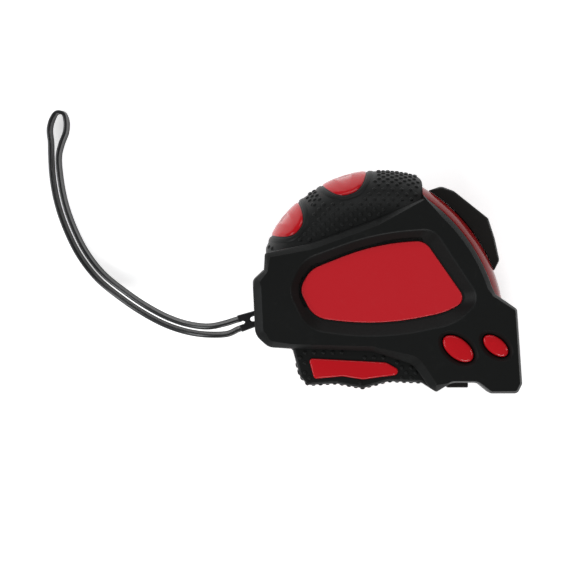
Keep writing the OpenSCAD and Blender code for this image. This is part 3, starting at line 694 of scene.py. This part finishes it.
def shoulderLine(r, h, reach):
    # a quarter ellipse from the outer wall up to the flat top
    return [(r - reach * (1 - math.cos(math.radians(a))), h * math.sin(math.radians(a)))
            for a in range(0, 91, 6)]


def makeCrown():
    j = jacket
    outer = shoulderLine(j["crownR"], j["crownH"], j["shoulder"])
    outer = [(outer[0][0] - j["parting"], 0), (outer[0][0] - 0.02, j["parting"])] + outer[1:]
    inner = shoulderLine(j["crownR"] - j["skin"], j["coreH"], j["shoulder"] - j["skin"])
    crown = lathe("crown", j["crown"], outer + [(j["flat"], j["crownH"]),
                                                (j["flat"], j["coreH"])] + inner[::-1], 144)
    cutPlane(crown, (0, j["crownLow"], 0), (0, -1, 0))
    cutPlane(crown, (j["step"], 0, 0), (1, 0, 0))
    cutPlane(crown, (j["crownRear"], 0, 0), (-1, 0, 0))
    # its front corner is rounded in plan
    x, y = j["corner"]
    r, end = j["cornerR"], j["cornerEnd"]
    turn = [(x + r * math.cos(math.radians(t)), y + r * math.sin(math.radians(t)))
            for t in (0, 15, 30, 45, 60, end)]
    line = turn + [(9.6, 36), (13, 36), (13, y)]
    combine(crown, rings("cornerTool", [(line, -1), (line, 20)]))
    return crown


def coreTools():
    j = jacket
    low = rings("coreLow", [(rounded(baseInside), -1), (rounded(baseInside), j["coreH"])])
    full = shoulderLine(j["crownR"] - j["skin"], j["coreH"], j["shoulder"] - j["skin"])
    crown = lathe("coreCrown", j["crown"], [(0.01, -1), (full[0][0], -1)] + full + [(0.01, j["coreH"])], 72)
    cutPlane(crown, (0, j["crownLow"], 0), (0, -1, 0))
    cutPlane(crown, (j["step"], 0, 0), (1, 0, 0))
    r = j["rimR"] - 0.15
    shoulder = [(r - 5 * (1 - math.cos(math.radians(a))), 8 + 7.9 * math.sin(math.radians(a)))
                for a in range(0, 91, 15)]
    rim = lathe("coreRim", j["rim"], [(0.01, -1), (r, -1)] + shoulder + [(0.01, 15.9)], 96)
    cutPlane(rim, (j["step"] - 2, 0, 0), (-1, 0, 0))
    cutPlane(rim, (0, j["rimLow"], 0), (0, -1, 0))
    return [low, crown, rim]


def makeFrame():
    line, chamfer = withArc()
    inset = [-c for c in chamfer]
    levels = [(grown(line, -jacket["parting"]), 0), (line, jacket["parting"]), (line, face - 2.1),
              (grown(line, [0.12 * c for c in inset]), face - 1.6),
              (grown(line, [0.85 * c for c in inset]), face - 0.28),
              (grown(line, inset), face)]
    body = rings("frameBody", levels)
    plate, recess = rounded(plateLine, 10), rounded(recessLine, 10)
    hole = rings("recessTool", [(grown(plate, 0.12), 15.2), (grown(plate, 0.12), 16.55),
                                (grown(plate, 0.3), 16.75),
                                (grown(plate, 0.75), 16.8), (grown(plate, 0.95), 16.95),
                                (grown(recess, -0.35), face - 0.28), (grown(recess, 0.15), face - 0.05),
                                (grown(recess, 0.5), face + 0.02), (grown(recess, 0.5), 21)])
    recessCutter = copyOf(hole, "recessCutter")
    combine(body, hole)
    for o in ovals:
        tool = rings("ovalTool", [(ovalRing(*o, 0.3), 15), (ovalRing(*o, 0.3), face - 1.3),
                                  (ovalRing(*o, 1.2), face - 0.3),
                                  (ovalRing(*o, 1.6), face + 0.01), (ovalRing(*o, 1.6), 21)])
        combine(body, tool)
    return body, recessCutter


def makeBase():
    line = rounded(baseLine, 4)
    p, h = jacket["parting"], jacket["baseH"]
    return rings("baseBody", [(grown(line, -p), 0), (line, p), (line, h - 1.1),
                              (grown(line, -0.25), h - 0.3), (grown(line, -0.8), h)])


def nearest(point, line):
    # distance from a point to a closed line, less than nothing inside it
    best, inside = 1e9, False
    for i in range(len(line)):
        a, b = Vector(line[i - 1]), Vector(line[i])
        ab = b - a
        t = max(0, min(1, (point - a).dot(ab) / max(ab.length_squared, 1e-9)))
        best = min(best, (a + ab * t - point).length)
        if (a.y > point.y) != (b.y > point.y) and point.x < a.x + (point.y - a.y) * (b.x - a.x) / (b.y - a.y):
            inside = not inside
    return -best if inside else best


def crownSpot(theta, a, flatR=None):
    # place and normal on the crown's skin; theta round the case, a up its shoulder, flatR on the flat top
    c, w, h = jacket["crown"], jacket["shoulder"], jacket["crownH"]
    r = jacket["crownR"] - w * (1 - math.cos(a))
    if flatR is not None and flatR < r and a > 1.5:
        r = flatR
    normal = Vector((math.cos(a) / w, math.sin(a) / h)).normalized()
    out = Vector((math.cos(theta), math.sin(theta), 0))
    return Vector((c[0], c[1], 0)) + out * r + Vector((0, 0,
                                                       h * math.sin(a))), out * normal.x + Vector((0, 0,
                                                               normal.y))


def padEdge(pad, d, psi):
    # a point of a pad's edge moved out by d, as angles round and up the crown
    power = 2 / 2.5
    cx, cy = math.cos(psi), math.sin(psi)
    x = math.copysign(abs(cx) ** power, cx)
    y = math.copysign(abs(cy) ** power, cy)
    return (math.radians(pad[0] + (pad[1] + math.degrees(d / 38)) * x),
            math.radians((pad[2] + math.degrees(d / 17)) * y))


dots = {"pitch": 2.87, "row": 1.56, "width": 1.55, "high": 0.46, "fromFrame": 0.9, "fromPad": 3.1}


def dotSpots():
    frameOutline, _ = withArc()
    spots = []
    c = Vector(jacket["crown"])
    edges = []
    for pad in pads.values():
        ring = []
        for k in range(48):
            theta, a = padEdge(pad, dots["fromPad"], math.tau * k / 48)
            ring.append((math.degrees(theta) * 0.66, math.degrees(a) * 0.30))
        edges.append(ring)

    def free(theta, a, r):
        p = c + Vector((math.cos(theta), math.sin(theta))) * r
        if p.x > jacket["step"] - 1.3 or p.x < -37.2 or p.y < 2:
            return False
        if nearest(p, frameOutline) < dots["fromFrame"]:
            return False
        q = Vector((math.degrees(theta) * 0.66, math.degrees(a) * 0.30))
        return all(nearest(q, e) > 0 for e in edges)
    w, rimR = jacket["shoulder"], jacket["crownR"]
    row = 0
    y = -4.0
    while y < 36:
        x = -40 + (row % 2) * dots["pitch"] / 2
        while x < 11:
            d = Vector((x, y)) - c
            r = d.length
            theta = math.atan2(d.y, d.x)
            cosA = (r - (rimR - w)) / w
            if cosA < math.cos(math.radians(41)):
                a = math.acos(max(-1, min(1, cosA))) if cosA > 0 else math.pi / 2
                if free(theta, a, r):
                    spots.append((theta, a, r))
            x += dots["pitch"]
        y += dots["row"]
        row += 1
    for k in range(8):
        a = math.radians(38.5 - k * 5.1)
        r = rimR - w * (1 - math.cos(a))
        count = round(math.tau * rimR / dots["pitch"])
        for n in range(count):
            theta = math.tau * (n + 0.5 * (k % 2)) / count
            if free(theta, a, r):
                spots.append((theta, a, r))
    return spots


def makeDot():
    # one low dome with a soft rim, seven faces round
    clearSelection()
    bpy.ops.mesh.primitive_circle_add(vertices=7, radius=dots["width"] / 2 * mm, fill_type="NGON")
    dot = named("dot")
    bpy.ops.object.mode_set(mode="EDIT")
    for lift, share in ((0.62, 0.82), (0.3, 0.62), (0.08, 0.5)):
        bpy.ops.mesh.extrude_region_move(TRANSFORM_OT_translate={"value": (0, 0, lift * dots["high"] * mm)})
        bpy.ops.transform.resize(value=(share, share, 1))
    bpy.ops.object.mode_set(mode="OBJECT")
    dot.data.transform(Matrix.Translation((0, 0, -0.1 * mm)))
    return dot


def scatter(dot, frames, name):
    verts = [v.co.copy() for v in dot.data.vertices]
    faces = [tuple(f.vertices) for f in dot.data.polygons]
    allVerts, allFaces = [], []
    for m in frames:
        start = len(allVerts)
        allVerts.extend([tuple(m @ v) for v in verts])
        allFaces.extend([tuple(start + k for k in f) for f in faces])
    mesh = bpy.data.meshes.new(name)
    mesh.from_pydata(allVerts, [], allFaces)
    piece = bpy.data.objects.new(name, mesh)
    bpy.context.scene.collection.objects.link(piece)
    outwards(piece, 1e-8)
    smooth(piece, 60)
    return piece


def frameAt(point, normal):
    q = Vector((0, 0, 1)).rotation_difference(normal)
    return Matrix.Translation(point * mm) @ q.to_matrix().to_4x4()


def gripSpots():
    # a row beside the frame on the lower grip, and staggered rows down its outer wall
    spots = []
    line = rounded(baseLine, 4)
    pad = rounded(gripPad, 3)
    frameOutline, _ = withArc()
    h = jacket["baseH"]
    row = 0
    y = -33
    while y < -20:
        x = -30 + (row % 2) * dots["pitch"] / 2
        while x < 14:
            p = Vector((x, y))
            if nearest(p, line) < -1.2 and nearest(p, pad) > 0.95 and nearest(p, frameOutline) > 0.7:
                spots.append((Vector((x, y, h)), Vector((0, 0, 1))))
            x += dots["pitch"]
        y += dots["row"]
        row += 1
    walk = [Vector(p) for p in line]
    dist, want = 0, 0
    for a, b in zip(walk, walk[1:]):
        seg = (b - a).length
        while want <= dist + seg and seg > 0:
            p = a + (b - a) * (want - dist) / seg
            if -28.5 < p.x < 11 and p.y < -22.5:
                n = Vector(((b - a).y, -(b - a).x, 0)).normalized()
                if nearest(p + n.xy * 0.5, line) < 0:
                    n = -n
                for k in range(5):
                    z = 1.8 + 2.9 * k + (1.45 if round(want / 2.2) % 2 else 0)
                    if z < h - 1.2:
                        spots.append((Vector((p.x, p.y, z)), n))
            want += 2.2
        dist += seg
    return spots


def padPiece(name, pad):
    # a smooth raised pad over both halves, its edge rolled down into the skin
    across = [(-4.5, 0.42), (-3.0, 0.42), (-1.6, 0.4), (-0.9, 0.34), (-0.45, 0.22), (-0.15, 0.05),
              (0.0, -0.3), (0.0, -1.0)]
    return onCrown(name, pad, across, True)


def onCrown(name, pad, across, capped):
    seg = 64
    verts, faces = [], []
    for d, lift in across:
        for k in range(seg):
            theta, a = padEdge(pad, d, math.tau * k / seg)
            p, n = crownSpot(theta, abs(a))
            if a < 0:
                p.z, n.z = -p.z, -n.z
            verts.append(p + n * lift)
    rows = len(across)
    for i in range(rows - (1 if capped else 0)):
        for k in range(seg):
            faces.append((i * seg + k, i * seg + (k + 1) % seg, ((i + 1) % rows) * seg + (k + 1) % seg,
                          ((i + 1) % rows) * seg + k))
    if capped:
        for row, lift in ((0, across[0][1]), (rows - 1, across[-1][1])):
            theta = math.radians(pad[0])
            share = 0.5
            start = len(verts)
            for k in range(seg):
                t, a = padEdge([pad[0], pad[1] * share, pad[2] * share], 0, math.tau * k / seg)
                p, n = crownSpot(t, abs(a))
                if a < 0:
                    p.z, n.z = -p.z, -n.z
                verts.append(p + n * lift)
            p, n = crownSpot(theta, 0)
            verts.append(p + n * lift)
            for k in range(seg):
                faces.append((row * seg + k, row * seg + (k + 1) % seg, start + (k + 1) % seg, start + k))
                faces.append((start + k, start + (k + 1) % seg, start + seg))
    mesh = bpy.data.meshes.new(name)
    mesh.from_pydata([tuple(v * mm) for v in verts], [], faces)
    piece = bpy.data.objects.new(name, mesh)
    bpy.context.scene.collection.objects.link(piece)
    outwards(piece)
    smooth(piece, 60)
    return piece


padRim = [(0.28, -0.5), (0.3, -0.02), (0.42, 0.2), (0.7, 0.28), (1.3, 0.26), (1.75, 0.2), (2.1, 0.02),
          (2.1, -0.5)]


def makeHalfJacket():
    crown, low = makeCrown(), makeBase()
    body, recessCutter = makeFrame()
    combine(crown, recessCutter)
    tools = coreTools()
    for part, picks in ((body, tools), (low, tools[:1] + tools[2:])):
        for tool in picks:
            combine(part, tool, keepTool=True)
    for tool in tools:
        bpy.data.objects.remove(tool)
    cutters = [
        block("mouthTool", (26, -27.87, -1), (47, -23.67, 13)),
        block("hookTool", (40, -36, -1), (46, -20.8, 10.8)),
        block("pocketTool", (-44, -14.9, -1), (-36, -6.5, 6)),
        block("brakeTool", (16.5, -36, -1), (27.5, -26.8, 9.5)),
    ]
    for tool in cutters:
        combine(body, tool, keepTool=True)
        combine(low, tool)
    combine(low, block("topTool", (0, -3.4, -1), (47, 40, 30)))
    for part in (crown, body, low):
        smooth(part, 28)
    return crown, body, low


crownHalf, frameHalf, baseHalf = makeHalfJacket()
print("jacket parts shaped", [len(p.data.vertices) for p in (crownHalf, frameHalf, baseHalf)])
dot = makeDot()
crownFrames = [frameAt(*crownSpot(theta, a, r)) for theta, a, r in dotSpots()]
gripFrames = [frameAt(p, n) for p, n in gripSpots()]
allFrames = crownFrames + gripFrames


def clearOfScrews(m):
    p = m.translation / mm
    return all(math.hypot(p.x - x, p.y - y) > screwHole["noDots"] for x, y in caseScrews)


print("dots", len(crownFrames), len(gripFrames))

for side in ("near", "far"):
    parts = [copyOf(src, "part") for src in (crownHalf, frameHalf, baseHalf)]
    if side == "far":
        for x, y in caseScrews:
            for part in parts:
                clearSelection()
                bpy.ops.mesh.primitive_cylinder_add(vertices=40, radius=screwHole["radius"] * mm,
                                                    depth=14 * mm, location=(x * mm, y * mm, 16 * mm))
                hole = named("screwTool")
                settle(hole)
                combine(part, hole)
                smooth(part, 28)
    parts.append(scatter(dot, allFrames if side == "near"
                         else [m for m in allFrames if clearOfScrews(m)], side + "Dots"))
    piece = joinUp(parts, side + "Jacket")
    place(piece, side)
    finishPiece(piece, "case", rubber, "black_rubber", side + "_jacket")
for src in (crownHalf, frameHalf, baseHalf, dot):
    bpy.data.objects.remove(src)
print("jackets done")

for key, pad in pads.items():
    p = padPiece(key + "Pad", pad)
    place(p, "near")
    finishPiece(p, "case", glossRed, "red_plastic")
    ring = onCrown(key + "PadRim", pad, padRim, False)
    place(ring, "near")
    finishPiece(ring, "case", rubber, "black_rubber")


for side in ("near", "far"):
    for i, o in enumerate(ovals):
        p = rings("oval", [(ovalRing(*o), 15.6), (ovalRing(*o), face - 0.75),
                           (ovalRing(*o, -0.12), face - 0.42),
                           (ovalRing(*o, -0.4), face - 0.2), (ovalRing(*o, -0.9), face - 0.08),
                           (ovalRing(*o, -1.6), face - 0.02), (ovalRing(*o, -2.3), face)])
        smooth(p, 60)
        p.name = p.data.name = side + "Oval" + str(i + 1)
        place(p, side)
        finishPiece(p, "case", glossRed, "red_plastic")
    line = rounded(gripPad, 4)
    p = rings("pad", [(line, 15.6), (line, 16.75), (grown(line, -0.15), 17.0), (grown(line, -0.5), 17.15)])
    smooth(p, 40)
    p.name = p.data.name = side + "GripPad"
    place(p, side)
    finishPiece(p, "case", glossRed, "red_plastic")
    # label plate with a soft edge and a very slight crown
    line = rounded(plateLine, 10)
    p = rings("plate", [(line, 16.02), (line, 16.55), (grown(line, -0.12), 16.72), (grown(line, -0.4), 16.8)])
    if side == "far":
        clearSelection()
        bpy.ops.mesh.primitive_cylinder_add(vertices=48, radius=1.65 * mm, depth=8 * mm,
                                            location=(-1.8 * mm, -3 * mm, 16 * mm))
        hole = named("holeTool")
        settle(hole)
        combine(p, hole)
    smooth(p, 40)
    p.name = p.data.name = side + "Plate"
    place(p, side)
    finishPiece(p, "case", plateRed, "label_red", side + "_label")
    # plastic shell: the CAD form with its pads trimmed level, so the moulded pads above stand for them
    p = refine(side + "_shell", side + "Shell", 0, facet=32)
    low, high = ((-60, -60, mid + 16), (60, 60, mid + 40)) if side == "near" else ((-60, -60, mid - 40),
            (60, 60, mid - 16))
    combine(p, block("trimTool", low, high))
    smooth(p, 32)
    # the shell gets the darker red, which is painted shade on its rim
    finishPiece(p, "case", shadedRimRed, "red_plastic", side + "_shell")
print("pads, plates and shells done")

# thumb lock: a faceted cap over the slot, its neck, and the arm that carries the brake pad
lock = {
    "gap": 52.8, "half": 8, "edge": 0.7,
    "cap": [[52.8, 56.8, 0], [55.9, 54.4, 2.6], [57.2, 50.2, 5], [59.1, 36.8, 1.2], [57.3, 30.5, 8],
            [55.5, 23.6, 2.2], [52.8, 21.3, 0]],
    "arm": [46.2, 48.2, -3, 47, 5], "neck": [46.2, 53.4, 36, 45.5, 5],
}


def onRim(r, angle):
    return (jacket["rim"][0] + r * math.cos(math.radians(angle)),
            jacket["rim"][1] + r * math.sin(math.radians(angle)))


def rimArc(r, low, high, steps):
    return [onRim(r, low + (high - low) * k / steps) for k in range(steps + 1)]


def arcBlock(name, inner, outer, low, high, half):
    line = rimArc(outer, low, high, 24) + rimArc(inner, low, high, 24)[::-1]
    return rings(name, [(grown(line, -0.25), -half), (line, 0.25 - half), (line, half - 0.25),
                        (grown(line, -0.25), half)])


def makeLock():
    outline = rounded([[*onRim(r, a), c] for r, a, c in lock["cap"]], 6)
    line = outline + rimArc(lock["gap"], 21.3, 56.8, 30)[1:-1]
    h, e = lock["half"], lock["edge"]
    # only the outer edge is rounded off: the inner arc keeps its clearance over the rim
    pull = [0.0] + [-1.0] * (len(outline) - 2) + [0.0] * 30
    steps = [(1, 0), (0.55, 0.08), (0.2, 0.35), (0, 1)]
    levels = [(grown(line, [p * e * k for p in pull]), h - e * f) for k, f in steps]
    cap = rings("lockCap", [(ring, -z) for ring, z in levels] + levels[::-1])
    return joinUp([cap, arcBlock("lockNeck", *lock["neck"]), arcBlock("lockArm", *lock["arm"])], "thumbLock")


lockPiece = makeLock()
smooth(lockPiece, 32)
place(lockPiece, "near")
finishPiece(lockPiece, "lock", lockBlack, "black_plastic", "thumb_lock")
print("lock done")

# hardware
hardware = [
    ("finger_brake", "fingerBrake", 0.3, 2, "finger_button", lockBlack, "black_plastic"),
    ("mouth_bumper", "mouthBumper", 0.3, 2, "case", rubber, "black_rubber"),
    ("brake_pad", "brakePad", 0.2, 2, "lock", rubber, "black_rubber"),
    ("end_hook", "endHook", 0.16, 2, "hook", platedSteel, "plated_steel"),
    ("hook_rivets", "hookRivets", 0.12, 2, "blade", platedSteel, "plated_steel"),
    ("belt_clip", "beltClip", 0.18, 2, "case", springSteel, "spring_steel"),
    ("clip_screw", "clipScrew", 0.15, 2, "case", platedSteel, "plated_steel"),
    ("case_screws", "caseScrews", 0.12, 2, "case", platedSteel, "plated_steel"),
    ("strap_bar", "strapBar", 0.15, 2, "case", platedSteel, "plated_steel"),
]
for nodeName, name, width, segments, body, material, slotName in hardware:
    p = refine(nodeName, name, width, segments, angle=50)
    finishPiece(p, body, material, slotName, nodeName)

inside = {"spring_arbor": greyPlastic, "reel_drum": greyPlastic, "drum_cover": greyPlastic,
          "mainspring": springSteel,
          "tape_coil": coilPaint, "tape_blade": bladePaint, "lock_spring": springSteel,
          "brake_spring": springSteel}
for nodeName, material in inside.items():
    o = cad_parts[nodeName]
    for s in o.material_slots:
        s.material = material
    if not o.material_slots:
        o.data.materials.append(material)
print("hardware done")

clearSelection()
